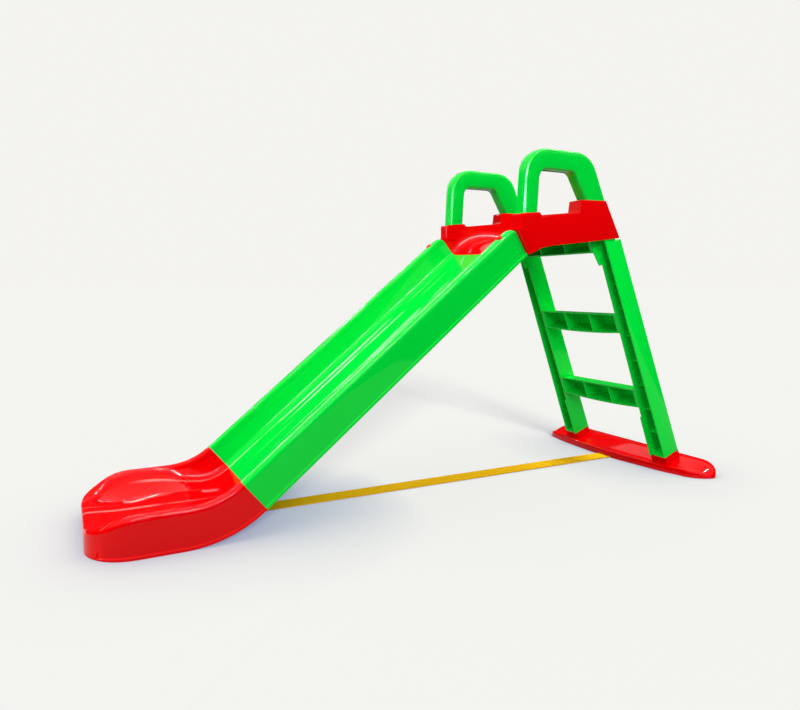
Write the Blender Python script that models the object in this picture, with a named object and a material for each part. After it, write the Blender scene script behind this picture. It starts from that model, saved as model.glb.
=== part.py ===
"""A free-standing moulded plastic slide for small children.

X runs along the slide with the run-out at -X and the ladder at +X, Y is the width and Z is up.
Every piece is drawn with x measured from the front lip of the run-out.
The last step moves all of them so that the origin is under the middle of the whole slide.
"""

import math

import bmesh
import bpy
from mathutils import Vector

# Whole slide
overall_length = 1.458
wall = 0.004
fit_gap = 0.0003

# Chute section, square to the slope
chute_length = 0.790
chute_half_width = 0.169
section_height = 0.0725
rail_width = 0.0235
rail_radius = 0.011
bed_depth = 0.061
bed_edge_depth = 0.0565
skirt_lip = 0.0025
rib_thickness = 0.003
rib_count = 5
end_wall = 0.0045
end_tilt = -0.14
crest_round_length = 0.022
crest_round_drop = 0.014
recess_depth = 0.0014

# Run-out, whose foot curves from the slope to the floor
foot_curve_radius = 0.243
foot_curve_start = 0.163
rail_curve_radius = 0.1475
bed_curve_radius = 0.1204
front_corner_length = 0.085
lip_half_width = 0.0874
lip_height = 0.041
lip_radius = 0.009
lip_rise_width = 0.016
rail_fall_length = 0.10
rail_fall = (
    (0.0, 0.0),
    (0.013, 0.20),
    (0.030, 0.42),
    (0.052, 0.735),
    (0.077, 0.955),
    (rail_fall_length, 1.0),
)

# Platform: lengths run back from the chute's upper end and heights up from the deck
deck_height = 0.600
deck_curve_radius = 0.120
rail_above_deck = 0.0102
cheek_outer = 0.1777
cheek_inner = 0.1347
cheek_edge_radius = 0.0025
cheek_front = 0.0157
cheek_front_height = 0.0060
cheek_rear_top = 0.2620
cheek_rear_low = 0.3095
cheek_rear_low_height = -0.0050
front_socket_height = 0.0400
rear_socket_height = 0.0800
front_socket_rear = 0.0655
saddle_height = 0.0430
saddle_front = 0.0715
saddle_rear = 0.1825
rear_socket_front = 0.1860
shelf_length = 0.0515

# Handles, measured as the platform is
handle_outer = 0.1739
handle_inner = 0.1387
handle_edge_radius = 0.007
handle_height = 0.1875
bar_thickness = 0.0470
front_leg_front = 0.0245
front_leg_rear = 0.0632
rear_leg_front = 0.2034
rear_leg_rear = 0.2637
rear_leg_lean = 0.50
spigot_inset = 0.006
spigot_length = 0.035
socket_gap = 0.0004

# Ladder
ladder_top_reach = 0.2608
ladder_foot_from_rear = 0.0937
ladder_foot_height = 0.0336
stile_depth = 0.0502
stile_outer_foot = 0.190
stile_outer_top = 0.1722
stile_inner = 0.143
stile_edge_radius = 0.0015
stile_above_deck = 0.0300
stile_notch_below_deck = 0.0065
top_rung_height = 0.0340
rib_set_back = 0.016
rung_three_reach = 0.020
step_rise = 0.1972
first_step = 0.2119
rung_height = 0.0520
rung_bow = 0.005
rung_set_back = 0.0006

# Foot bar
foot_half_width = 0.2945
foot_depth = 0.1200
foot_middle_from_rear = 0.038
foot_front_bow = 0.0260
foot_front_height = 0.0168
foot_ridge_height = 0.0335
foot_tip_length = 0.0595

# Strap that ties the foot bar to the run-out along the floor
strap_width = 0.046
strap_thickness = 0.003
strap_front_screw = 0.222
strap_front_level = 0.0205
strap_rear_screw_from_rear = 0.066
strap_rear_level = 0.0098
strap_boss_diameter = 0.014
strap_hole_diameter = 0.0046

# Fasteners
pin_diameter = 0.0142
pin_from_end = 0.041
pin_across = 0.1575
pin_seat = 0.0085
pin_shaft = 0.007
tab_half_width = 0.0065
tab_top = 0.0165
tab_depth = 0.009
joint_screw_depths = (0.024, 0.054)
foot_screw_depth = 0.031
foot_screw_across = 0.1655
screw_diameter = 0.004
screw_head_diameter = 0.008
screw_head_height = 0.0026
screw_clearance = 0.0004
boss_diameter = 0.010



def slope_to_deck():
    """The slope at which a chute of this length ends level with the deck."""
    low, high = math.radians(15), math.radians(70)
    for _ in range(50):
        middle = (low + high) / 2
        joint_height = foot_curve_radius + (section_height - foot_curve_radius) * math.cos(middle)
        if joint_height + chute_length * math.sin(middle) < deck_height + rail_above_deck:
            low = middle
        else:
            high = middle
    return low


slope = slope_to_deck()
up = Vector((0, 0, 1))
down = Vector((math.sin(slope), 0, -math.cos(slope)))
along = Vector((math.cos(slope), 0, math.sin(slope)))
joint_low = Vector(
    (
        foot_curve_start + foot_curve_radius * math.sin(slope),
        0,
        foot_curve_radius * (1 - math.cos(slope)),
    )
)
joint_top = joint_low - section_height * down
bed_end = joint_top + bed_depth * down
bed_low = bed_end.z - bed_curve_radius * (1 - math.cos(slope))
chute_end = joint_top + chute_length * along

ladder_foot = Vector((overall_length - ladder_foot_from_rear, 0, ladder_foot_height))
ladder_lean = math.atan2(
    ladder_foot.x - chute_end.x - ladder_top_reach, deck_height - ladder_foot_height
)
lean_up = Vector((-math.sin(ladder_lean), 0, math.cos(ladder_lean)))
lean_back = Vector((math.cos(ladder_lean), 0, math.sin(ladder_lean)))
strap_rear_screw = overall_length - strap_rear_screw_from_rear
rear_slant = (cheek_rear_low - cheek_rear_top) / (rear_socket_height - cheek_rear_low_height)
leg_middle = (handle_outer + handle_inner) / 2
front_shelf = front_socket_height - spigot_length - fit_gap - socket_gap - wall
rear_shelf = rear_socket_height - spigot_length - fit_gap - socket_gap - wall
deck_underside = deck_height - wall - fit_gap - 0.0008


def clear_scene():
    for old in list(bpy.data.objects):
        bpy.data.objects.remove(old, do_unlink=True)


def new_collection(name):
    made = bpy.data.collections.new(name)
    bpy.context.scene.collection.children.link(made)
    return made


def plastic(name, color, roughness=0.28, metallic=0.0):
    made = bpy.data.materials.new(name)
    made.use_nodes = True
    shader = made.node_tree.nodes["Principled BSDF"]
    shader.inputs["Base Color"].default_value = (*color, 1)
    shader.inputs["Roughness"].default_value = roughness
    shader.inputs["Metallic"].default_value = metallic
    return made


def make_object(name, points, faces, collection, material=None):
    mesh = bpy.data.meshes.new(name)
    mesh.from_pydata([tuple(p) for p in points], [], faces)
    work = bmesh.new()
    work.from_mesh(mesh)
    bmesh.ops.remove_doubles(work, verts=work.verts, dist=1e-6)
    bmesh.ops.recalc_face_normals(work, faces=work.faces)
    work.to_mesh(mesh)
    work.free()
    made = bpy.data.objects.new(name, mesh)
    collection.objects.link(made)
    if material:
        mesh.materials.append(material)
    return made


def ring_faces(rings, first=0):
    """Sides and end caps of a solid that passes through closed rings of points."""
    size = len(rings[0])
    faces = []
    for i in range(len(rings) - 1):
        a, b = first + i * size, first + (i + 1) * size
        for j in range(size):
            k = (j + 1) % size
            faces.append((a + j, a + k, b + k, b + j))
    faces.append(tuple(first + j for j in reversed(range(size))))
    last = first + (len(rings) - 1) * size
    faces.append(tuple(last + j for j in range(size)))
    return faces


def loft(name, rings, collection, material=None):
    points = [p for ring in rings for p in ring]
    return make_object(name, points, ring_faces(rings), collection, material)


def lofts(name, solids, collection):
    """Several separate lofted solids in one helper object."""
    points, faces = [], []
    for rings in solids:
        faces += ring_faces(rings, len(points))
        points += [p for ring in rings for p in ring]
    return make_object(name, points, faces, collection)


def slab(outline, y_low, y_high):
    """Rings of a flat slab: an outline of (x, z) points carried from one y to another."""
    return [[(x, y, z) for x, z in outline] for y in (y_low, y_high)]


def tube(start, end, diameter, sides=16, end_diameter=None):
    """Rings of a round bar between two points."""
    axis = (end - start).normalized()
    across = axis.orthogonal().normalized()
    other = axis.cross(across)
    rings = []
    for centre, size in ((start, diameter), (end, end_diameter or diameter)):
        turn = [2 * math.pi * i / sides for i in range(sides)]
        rings.append(
            [
                centre + (across * math.cos(t) + other * math.sin(t)) * size / 2
                for t in turn
            ]
        )
    return rings


def rounded(corners, segments=5, closed=False):
    """Points along a line of (a, b, radius) corners, with each corner rounded."""
    size = len(corners)
    points = []
    for i, (a, b, radius) in enumerate(corners):
        if radius == 0 or (not closed and i in (0, size - 1)):
            points.append((a, b))
            continue
        here = Vector((a, b))
        to_last = (Vector(corners[i - 1][:2]) - here).normalized()
        to_next = (Vector(corners[(i + 1) % size][:2]) - here).normalized()
        half = to_last.angle(to_next) / 2
        centre = here + (to_last + to_next).normalized() * radius / math.sin(half)
        start = here + to_last * radius / math.tan(half) - centre
        end = here + to_next * radius / math.tan(half) - centre
        swing = start.angle(end)
        for j in range(segments + 1):
            part = j / segments
            spoke = (
                start * math.sin((1 - part) * swing) + end * math.sin(part * swing)
            ) / math.sin(swing)
            points.append(tuple(centre + spoke))
    return points


def offset_corners(corners, distance):
    """The same line of corners, moved sideways into the material by the distance."""
    moved = []
    size = len(corners)
    for i, (a, b, radius) in enumerate(corners):
        here = Vector((a, b))
        before = here - Vector(corners[i - 1][:2]) if i else None
        after = Vector(corners[i + 1][:2]) - here if i < size - 1 else None
        sides = [
            Vector((d.y, -d.x)).normalized() for d in (before, after) if d is not None
        ]
        middle = sum(sides, Vector((0, 0))).normalized()
        spot = here + middle * distance / middle.dot(sides[0])
        if radius and before is not None and after is not None:
            turns_in = before.x * after.y - before.y * after.x < 0
            radius = max(radius + (-distance if turns_in else distance), 0.0005)
        moved.append((spot.x, spot.y, radius))
    return moved


def cut(target, cutter, operation="DIFFERENCE"):
    step = target.modifiers.new(operation.title() + " " + cutter.name, "BOOLEAN")
    step.operation = operation
    step.object = cutter
    step.solver = "EXACT"
    cutter.hide_render = True
    cutter.display_type = "WIRE"


def join(target, extra):
    cut(target, extra, "UNION")


def section_corners():
    """Half of the chute section as (y, depth, radius), from the skirt over the rail to the bed."""
    inner = chute_half_width - rail_width
    return [
        (chute_half_width, section_height, 0),
        (chute_half_width - 0.0005, 0, rail_radius),
        (inner, 0, 0.007),
        (inner - 0.002, 0.019, 0.006),
        (inner - 0.0115, bed_edge_depth, 0.016),
        (0.070, 0.6 * bed_depth + 0.4 * bed_edge_depth, 0.15),
        (0, bed_depth, 0),
    ]


def outer_section():
    """The visible half section, with the small lip along the bottom of the skirt."""
    y_lip = chute_half_width + skirt_lip
    lip = [(y_lip, section_height), (y_lip, section_height - 0.0045)]
    return (
        lip + [(chute_half_width, section_height - 0.0065)] + rounded(section_corners())[1:]
    )


def inner_section(thickness=wall, below=0.03):
    """The half section of the hollow under the chute, one wall inside the visible one."""
    corners = offset_corners(section_corners(), thickness)
    corners[0] = (corners[0][0], section_height + below, 0)
    corners[-1] = (0, corners[-1][1], 0)
    return rounded(corners, 3)


def both_sides(half):
    return half + [(-y, d) for y, d in reversed(half[:-1])]


def section_with_offsets(thickness=0.0):
    """Half section as (y, depth, sideways, downwards): places on the visible surface and how far
    to move from them, either out to the skirt's lip or in by the thickness of the wall."""
    places = []
    if not thickness:
        for y, d in outer_section():
            on_side = min(y, chute_half_width)
            places.append((on_side, d, y - on_side, 0.0))
        return places
    seen = rounded(section_corners(), 3)
    for (y, d), (y_in, d_in) in zip(seen, inner_section(thickness)):
        places.append((y, d, y_in - y, d_in - d))
    return places


def on_chute(s, d, y=0.0, tilted=True):
    """A point s up the slope from the joint and d below the rail top."""
    lean = end_tilt * d * max(s, 0) / chute_length if tilted else 0
    spot = joint_top + (s + lean) * along + d * down
    return Vector((spot.x, y, spot.z))


def chute_ring(half, s, drop=0.0):
    """A ring of the chute at s, where the rail's crest may be dropped to round off its end."""
    crest = 0.016
    ring = []
    for y, d in both_sides(half):
        lowered = d + drop * (1 - d / crest) if d < crest else d
        ring.append(on_chute(s, lowered, y))
    return ring


def make_chute_upper(parts, cutters, green):
    outer = outer_section()
    straight = chute_length - crest_round_length
    stations = [(fit_gap / 2, 0.0), (straight / 2, 0.0), (straight, 0.0)]
    for angle in (22, 42, 60, 76, 90):
        turn = math.radians(angle)
        s = straight + crest_round_length * math.sin(turn)
        stations.append((s, crest_round_drop * (1 - math.cos(turn))))
    chute = loft(
        "chute_upper", [chute_ring(outer, s, d) for s, d in stations], parts, green
    )

    inner = inner_section()
    hollow = [
        chute_ring(inner, end_wall),
        chute_ring(inner, chute_length - end_wall - 0.002),
    ]
    cut(chute, loft("chute_upper_hollow", hollow, cutters))

    # Cross ribs under the bed stop just short of the skirt's lower edge.
    rib = inner_section(wall / 2, -0.0015)
    ribs = []
    for i in range(rib_count):
        s = chute_length * (i + 1) / (rib_count + 1)
        ribs.append(
            [chute_ring(rib, s - rib_thickness / 2), chute_ring(rib, s + rib_thickness / 2)]
        )
    join(chute, lofts("chute_upper_ribs", ribs, cutters))

    # Shallow recess on each skirt beside the platform.
    corners = [(-0.126, 0.0175), (-0.121, 0.054), (0.010, 0.0655), (0.010, 0.0130)]
    outline = [on_chute(chute_length + s, d) for s, d in corners]
    outline = [(p.x, p.z) for p in outline]
    floor = chute_half_width - 0.0002 - recess_depth
    recess = [
        slab(outline, side * floor, side * (chute_half_width + 0.01)) for side in (-1, 1)
    ]
    cut(chute, lofts("skirt_recess", recess, cutters))

    # Holes for the locking pins, windows for the tabs under them and bosses at the joint.
    openings, bosses, pilots = [], [], []
    for side in (-1, 1):
        y = side * pin_across
        s = chute_length - pin_from_end
        openings.append(
            tube(
                on_chute(s, -0.01, y, False),
                on_chute(s, pin_seat, y, False),
                pin_diameter + 0.0006,
                20,
            )
        )
        window = []
        for s in (chute_length - 0.012, chute_length + 0.01):
            window.append(
                [
                    on_chute(s, d, y + dy, False)
                    for dy, d in tab_section(fit_gap)
                ]
            )
        openings.append(window)
        for d in joint_screw_depths:
            bosses.append(
                tube(on_chute(end_wall - 0.001, d, y), on_chute(0.0145, d, y), boss_diameter)
            )
            pilots.append(
                tube(
                    on_chute(-0.01, d, y),
                    on_chute(0.0130, d, y),
                    screw_diameter + screw_clearance,
                )
            )
    join(chute, lofts("joint_bosses", bosses, cutters))
    cut(chute, lofts("chute_upper_openings", openings + pilots, cutters))
    return chute


def tab_section(gap=0.0):
    """Section of a platform tab that lies under a rail, as (across, depth)."""
    half = tab_half_width + gap
    return [
        (-half, tab_top - gap),
        (half, tab_top - gap),
        (half, tab_top + tab_depth + gap),
        (-half, tab_top + tab_depth + gap),
    ]


def curve_height(x, end, radius):
    """Height of a line that comes down the slope to the point end and then curves level."""
    flat_x = end.x - radius * math.sin(slope)
    low = end.z - radius * (1 - math.cos(slope))
    if x <= flat_x:
        return low
    if x >= end.x:
        return end.z + (x - end.x) * math.tan(slope)
    return low + radius - math.sqrt(radius**2 - (x - flat_x) ** 2)


def between(x, table):
    """Smooth value at x from a short table of (x, value) pairs."""
    if x <= table[0][0]:
        return table[0][1]
    for (x0, v0), (x1, v1) in zip(table, table[1:]):
        if x <= x1:
            part = (x - x0) / (x1 - x0)
            return v0 + (v1 - v0) * part
    return table[-1][1]


def smooth(part):
    part = min(max(part, 0.0), 1.0)
    return part * part * (3 - 2 * part)


def corner_shift(turn):
    """How far a rounded front corner has drawn the side in."""
    return (chute_half_width - lip_half_width) * (1 - math.sin(turn))


def run_out_ring(half, c, turn, inset=0.0):
    """One section of the run-out, where c is the rail's x. The turn is a right angle behind the
    rounded front corners and falls to zero at the lip."""
    sine = math.sin(turn)
    c += inset * math.cos(turn)
    share = max(c - rail_fall_length, 0.0) / (joint_top.x - rail_fall_length)
    low_x = c + (joint_low.x - joint_top.x) * share
    bed_x = c + (bed_end.x - joint_top.x) * share
    rail_z = curve_height(c, joint_top, rail_curve_radius)
    if c < rail_fall_length:
        rail_z = lip_height + (rail_z - lip_height) * between(c, rail_fall)
    bed_z = curve_height(bed_x, bed_end, bed_curve_radius)
    bed_z += (lip_height - bed_low) * smooth((0.12 - c) / 0.12) ** 2
    low_z = curve_height(low_x, joint_low, foot_curve_radius)
    edge = max(lip_radius - c, 0.0)
    round_off = lip_radius - math.sqrt(lip_radius**2 - edge**2)
    shift = corner_shift(turn)
    bed_shift = corner_shift(math.acos(max(1 - c / front_corner_length, 0.0)))
    limit = chute_half_width - inset - shift
    rail_inner = chute_half_width - rail_width
    flat_half = min(rail_inner * smooth((0.115 - c) / 0.105), rail_inner - lip_rise_width)
    bowl = smooth((joint_top.x - 0.02 - c) / 0.13)
    ring = []
    for i, (y, d, sideways, downwards) in enumerate(half):
        if y > chute_half_width - rail_radius:
            part = d / section_height
            x = c + (low_x - c) * part
            z = rail_z - round_off + (low_z - rail_z + round_off) * part
            width = y - shift + sideways * (sine if inset else min(1.0, c / 0.03))
        else:
            part = d / bed_depth
            x = c + (bed_x - c) * part
            z = rail_z + (bed_z - rail_z) * part
            level = max(y - flat_half, 0.0) / (rail_inner - flat_half)
            dish = bed_z + (rail_z - bed_z) * min(0.9 * level**2.4, 1.0)
            # Under the bowl the wall's thickness is taken straight down.
            if y < rail_inner:
                z += (min(dish, rail_z) - z) * bowl
                downwards += (1.4 * inset - downwards) * bowl
                sideways *= 1 - bowl
            z -= round_off
            width = y - bed_shift * min(y / rail_inner, 1.0) + sideways
            width = min(width, limit - 0.0002 * i)
        ring.append(Vector((x, width, z - downwards)))
    return ring + [Vector((p.x, -p.y, p.z)) for p in reversed(ring[:-1])]


def run_out_stations():
    run = joint_top.x - rail_fall_length
    stations = [(joint_top.x - run * i / 10, math.pi / 2) for i in range(11)]
    for angle in (90, 80, 70, 60, 50, 40, 30, 22, 15, 9, 4, 0):
        turn = math.radians(angle)
        stations.append((front_corner_length * (1 - math.cos(turn)), turn))
    return stations


def make_chute_lower(parts, cutters, red):
    stations = run_out_stations()
    outer = section_with_offsets()
    rings = [run_out_ring(outer, c, turn) for c, turn in stations]
    rings[0] = [p - along * fit_gap / 2 for p in chute_ring(outer_section(), 0.0)]
    run_out = loft("chute_lower", rings, parts, red)

    inner = section_with_offsets(wall)
    inner_stations = stations[:10:2] + stations[10::2] + stations[-1:]
    hollow = [run_out_ring(inner, c, turn, wall) for c, turn in inner_stations]
    hollow[0] = [p - along * end_wall for p in chute_ring(inner_section(), 0.0)]
    cut(run_out, loft("chute_lower_hollow", hollow, cutters))

    holes = []
    for side in (-1, 1):
        for d in joint_screw_depths:
            y = side * pin_across
            holes.append(
                tube(
                    on_chute(-0.02, d, y),
                    on_chute(0.02, d, y),
                    screw_diameter + screw_clearance,
                )
            )
    cut(run_out, lofts("joint_screw_holes", holes, cutters))

    # Boss under the bed that takes the strap.
    top = Vector((strap_front_screw, 0, bed_low - wall / 2))
    low = Vector((strap_front_screw, 0, strap_front_level + strap_thickness + fit_gap))
    join(run_out, lofts("strap_boss_front", [tube(top, low, strap_boss_diameter, 20)], cutters))
    pilot = tube(low - 0.01 * up, low + 0.006 * up, screw_diameter + screw_clearance)
    cut(run_out, lofts("strap_pilot_front", [pilot], cutters))
    return run_out


def end_plane_x(z, d_shift=0.0):
    """The x of the chute's upper end face at a height, moved away from it by d_shift."""
    low = on_chute(chute_length, section_height)
    return chute_end.x + (z - chute_end.z) * (low.x - chute_end.x) / (low.z - chute_end.z) + d_shift


def at_platform(points):
    """Points of the platform's side view, moved to their place on the slide."""
    return [(chute_end.x + x, deck_height + z) for x, z in points]


def platform_outline(inset=0.0, below=0.0):
    """Side view of the platform, or of the hollow inside it when inset is a wall thickness."""
    front = cheek_front + inset
    gap = fit_gap + 1.25 * inset
    low_z = on_chute(chute_length, section_height).z + 0.002
    ledge_z = deck_height + cheek_front_height - 0.0025
    low_x, ledge_x = (end_plane_x(z, gap) - chute_end.x for z in (low_z, ledge_z))
    low_z -= deck_height
    rear_top, rear_low = cheek_rear_top - 1.1 * inset, cheek_rear_low - 1.1 * inset
    corners = [(low_x, low_z, 0)] if below else []
    corners = [(low_x, low_z - below, 0)] + corners
    corners += [
        (ledge_x, cheek_front_height - 0.0025, 0),
        (front, cheek_front_height, 0),
        (front, front_socket_top(cheek_front) - inset, 0.003),
        (front_socket_rear - inset, front_socket_top(front_socket_rear) - inset, 0.004),
        (saddle_front - inset, saddle_height - 0.0050 - inset, 0.003),
        (saddle_rear + inset, saddle_height + 0.0072 - inset, 0.006),
        (rear_socket_front + inset, rear_socket_top(rear_socket_front) - inset, 0.003),
        (rear_top, rear_socket_top(cheek_rear_top) - inset, 0.003),
        (rear_low + rear_slant * below, cheek_rear_low_height - below, 0 if below else 0.002),
        (cheek_rear_low - 0.0800, -0.0148 - below, 0),
        (cheek_rear_low - 0.1560, -0.0238 - below, 0),
        (0.1040, -0.0290 - below, 0),
        (0.0727, -0.0350 - below, 0),
        (0.0528, min(-0.0428, low_z + 0.0060) - below, 0),
    ]
    return at_platform(rounded(corners, 4, closed=True))


def front_socket_top(x):
    """Height of the front socket's top face above the deck, which rises a little to the rear."""
    return front_socket_height + 0.10 * (x - cheek_front - 0.005)


def rear_socket_top(x):
    return rear_socket_height + 0.022 * (x - cheek_rear_top + 0.022)


def trough_section(grow=0.0, mix=1.0):
    """Half section of the space between the cheeks, as (y, depth below the rail top).

    At mix 0 it is the chute's own section and at mix 1 it is the platform's, and grow widens it.
    """
    corners = section_corners()[2:]
    top_y = corners[0][0] * (1 - mix) + (cheek_inner + 0.001) * mix
    mid_y = corners[1][0] * (1 - mix) + cheek_inner * mix
    low_y = corners[2][0] * (1 - mix) + (cheek_inner - 0.004) * mix
    reshaped = [
        (top_y, -0.15, 0),
        (mid_y, 0.019, 0.006),
        (low_y, bed_edge_depth, 0.016 + 0.010 * mix),
        (0.070, 0.6 * bed_depth + 0.4 * bed_edge_depth, 0.15),
        (0, bed_depth, 0),
    ]
    if grow:
        reshaped = offset_corners(reshaped, grow)
        reshaped[-1] = (0, reshaped[-1][1], 0)
    return rounded(reshaped, 6)


def deck_path():
    """Places along the deck as (point on the bed line, slope angle there, mix)."""
    start = on_chute(chute_length, bed_depth)
    rise = deck_height - start.z
    radius = min(deck_curve_radius, 0.95 * rise / (1 - math.cos(slope)))
    straight = (rise - radius * (1 - math.cos(slope))) / math.sin(slope)
    places = [(start - 0.03 * along, slope, 0.0), (start, slope, 0.0)]
    bend = start + straight * along
    places.append((bend, slope, 0.4))
    steps = 5
    for i in range(1, steps + 1):
        angle = slope * (1 - i / steps)
        moved = radius * (math.sin(slope) - math.sin(angle))
        lifted = radius * (math.cos(angle) - math.cos(slope))
        mix = min(1.0, 0.4 + 0.6 * i / (steps - 1))
        places.append((bend + Vector((moved, 0, lifted)), angle, mix))
    flat = places[-1][0]
    places.append((Vector((chute_end.x + cheek_rear_low + 0.06, 0, flat.z)), 0.0, 1.0))
    return places


def trough_rings(grow=0.0):
    rings = []
    for place, angle, mix in deck_path():
        ring = []
        # The walls stay upright so that the sockets are not undercut.
        for y, d in both_sides(trough_section(grow, mix)):
            depth = d - bed_depth
            if depth < 0:
                reach = min(-depth, 0.06)
                x = place.x - reach * math.sin(angle)
                z = place.z + reach * math.cos(angle) + (-depth - reach)
            else:
                x = place.x + depth * math.sin(angle)
                z = place.z - depth * math.cos(angle)
            ring.append(Vector((x, y, z)))
        rings.append(ring)
    return rings


def leg_block(low, high, z_low, z_high, inset, side, lean_low=0.0):
    """A straight block inside one handle leg between two heights."""
    y0 = side * (handle_inner + inset)
    y1 = side * (handle_outer - inset)
    rings = []
    for z, shift in ((z_low, lean_low), (z_high, 0.0)):
        section = [(low + inset + shift, z), (high - inset + shift, z)]
        (x0, z0), (x1, z1) = at_platform(section)
        rings.append([(x0, y0, z0), (x1, y0, z1), (x1, y1, z1), (x0, y1, z0)])
    return rings


def spigots(side, gap=0.0):
    """The two spigots of one handle, or their sockets when there is a gap."""
    over = 0.012 if gap else 0.003
    inset = spigot_inset - gap
    deeper = spigot_length + gap
    front = leg_block(
        front_leg_front,
        front_leg_rear,
        front_socket_height - deeper,
        front_socket_height + over,
        inset,
        side,
    )
    rear = leg_block(
        rear_leg_front - rear_leg_lean * over,
        rear_leg_rear - rear_leg_lean * over,
        rear_socket_height - deeper,
        rear_socket_height + over,
        inset + 0.002,
        side,
        rear_leg_lean * (deeper + over),
    )
    return [front, rear]


def make_platform(parts, cutters, red):
    # The cheeks' outer edges are rounded by sections that draw in towards each side.
    edge = cheek_edge_radius
    steps = [(0.0, edge), (0.3 * edge, 0.3 * edge), (edge, 0.0)]
    sections = [(-cheek_outer + away, inset) for away, inset in steps]
    sections += [(-y, inset) for y, inset in reversed(sections)]
    rings = [[(x, y, z) for x, z in platform_outline(inset)] for y, inset in sections]
    platform = loft("platform", rings, parts, red)
    hollow = loft(
        "platform_hollow",
        slab(platform_outline(wall, 0.05), -cheek_outer + wall, cheek_outer - wall),
        cutters,
    )
    cut(hollow, loft("trough_outside", trough_rings(wall), cutters))
    cut(platform, hollow)
    cut(platform, loft("trough", trough_rings(), cutters))

    # Shelves under the handle legs, tabs under the rails and their holes.
    shelves, posts, openings = [], [], []
    for side in (-1, 1):
        y0, y1 = side * (cheek_inner + 0.002), side * (cheek_outer - 0.002)
        for z, x0, x1 in (
            (front_shelf, cheek_front + 0.002, cheek_front + 0.002 + shelf_length),
            (rear_shelf, rear_leg_front - 0.0015, rear_leg_front + 1.5 * shelf_length),
        ):
            x2 = x1 - 0.002 if x1 > saddle_rear else x1
            outline = [(x0, z), (x1, z), (x2, z + wall), (x0, z + wall)]
            shelves.append(slab(at_platform(outline), y0, y1))
        y = side * pin_across
        tab = []
        for s in (chute_length - 0.060, chute_length + 0.006):
            tab.append([on_chute(s, d, y + dy, False) for dy, d in tab_section()])
        shelves.append(tab)
        s = chute_length - pin_from_end
        posts.append(
            tube(
                on_chute(s, pin_seat, y, False),
                on_chute(s, tab_top + 0.001, y, False),
                0.012,
                20,
            )
        )
        high, low = on_chute(s, -0.01, y, False), on_chute(s, 0.03, y, False)
        openings.append(tube(high, low, pin_shaft + 0.0005, 20))
        openings += spigots(side, socket_gap)
        for x, z in handle_screw_spots():
            low = Vector((x, side * leg_middle, z - 0.02))
            openings.append(tube(low, low + 0.03 * up, screw_diameter + screw_clearance))
        start, end = ladder_screw_line(side)
        start -= 0.02 * (end - start).normalized()
        openings.append(tube(start, end, screw_diameter + screw_clearance))
    join(platform, lofts("platform_shelves", shelves, cutters))
    join(platform, lofts("pin_posts", posts, cutters))
    cut(platform, lofts("platform_openings", openings, cutters))
    return platform


def handle_screw_spots():
    """Where the handle screws pass their shelves' undersides, as (x, z)."""
    front_x = (front_leg_front + front_leg_rear) / 2
    rear_x = (rear_leg_front + rear_leg_rear) / 2 + rear_leg_lean * spigot_length
    return at_platform([(front_x, front_shelf), (rear_x, rear_shelf)])


def ladder_screw_line(side):
    """Axis of the screw that holds the ladder: where its head seats, and where it ends."""
    z = stile_above_deck - 0.017
    lean = math.atan(rear_slant)
    inward = Vector((-math.cos(lean), 0, -math.sin(lean)))
    x = cheek_rear_top + (rear_socket_height - z) * rear_slant
    ((x, z),) = at_platform([(x, z)])
    start = Vector((x, side * (stile_inner + stile_outer_top) / 2, z))
    return start, start + 0.016 * inward


def make_handle(name, side, parts, cutters, green):
    rear_line = 0.4535
    top_rear = rear_leg_rear - rear_line * (handle_height - 0.0015 - rear_socket_height)
    outer = [
        (front_leg_front, front_socket_top(front_leg_front) + fit_gap, 0),
        (front_leg_front + 0.0067, handle_height, 0.060),
        (top_rear, handle_height - 0.0015, 0.064),
        (rear_leg_rear, rear_socket_top(rear_leg_rear) + fit_gap, 0),
    ]
    under = handle_height - bar_thickness
    front_line = 0.611
    top_front = rear_leg_front - front_line * (under - rear_socket_height)
    inner = [
        (front_leg_rear, front_socket_top(front_leg_rear) + fit_gap, 0),
        (front_leg_rear + 0.0053, under, 0.021),
        (top_front, under + 0.0005, 0.020),
        (rear_leg_front, rear_socket_top(rear_leg_front) + fit_gap, 0),
    ]
    rings = []
    half = (handle_outer - handle_inner) / 2
    middle = side * leg_middle
    for (x0, z0), (x1, z1) in zip(rounded(outer, 9), rounded(inner, 9)):
        reach = math.hypot(x1 - x0, z1 - z0)
        box = [
            (0, -half, handle_edge_radius),
            (reach, -half, handle_edge_radius),
            (reach, half, handle_edge_radius),
            (0, half, handle_edge_radius),
        ]
        ring = []
        for depth, across in rounded(box, 3, closed=True):
            part = depth / reach
            spot = (x0 + (x1 - x0) * part, z0 + (z1 - z0) * part)
            ((x, z),) = at_platform([spot])
            ring.append((x, middle + across, z))
        rings.append(ring)
    handle = loft(name, rings, parts, green)
    join(handle, lofts(name + "_spigots", spigots(side), cutters))
    pilots = []
    for x, z in handle_screw_spots():
        start = Vector((x, side * leg_middle, z))
        pilots.append(tube(start, start + 0.020 * up, screw_diameter + screw_clearance))
    cut(handle, lofts(name + "_pilots", pilots, cutters))
    return handle


def on_ladder(w, h, y=0.0):
    """A point w behind the ladder's front plane and h up from its foot."""
    spot = ladder_foot + w * lean_back + h * lean_up
    return Vector((spot.x, y, spot.z))


def ladder_height_at(z):
    """How far up the front plane of the ladder a height is."""
    return (z - ladder_foot_height) / math.cos(ladder_lean)


def stile_notch():
    """How far up the stile its rear steps in, just under the cheek's rear corner."""
    rear = deck_height - stile_notch_below_deck - stile_depth * math.sin(ladder_lean)
    return ladder_height_at(rear)


def stile_top():
    return ladder_height_at(deck_height + stile_above_deck)


def stile_outer(h):
    """Half width over the stiles, which narrows up to the notch."""
    return stile_outer_foot + (stile_outer_top - stile_outer_foot) * min(h / stile_notch(), 1.0)


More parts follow.
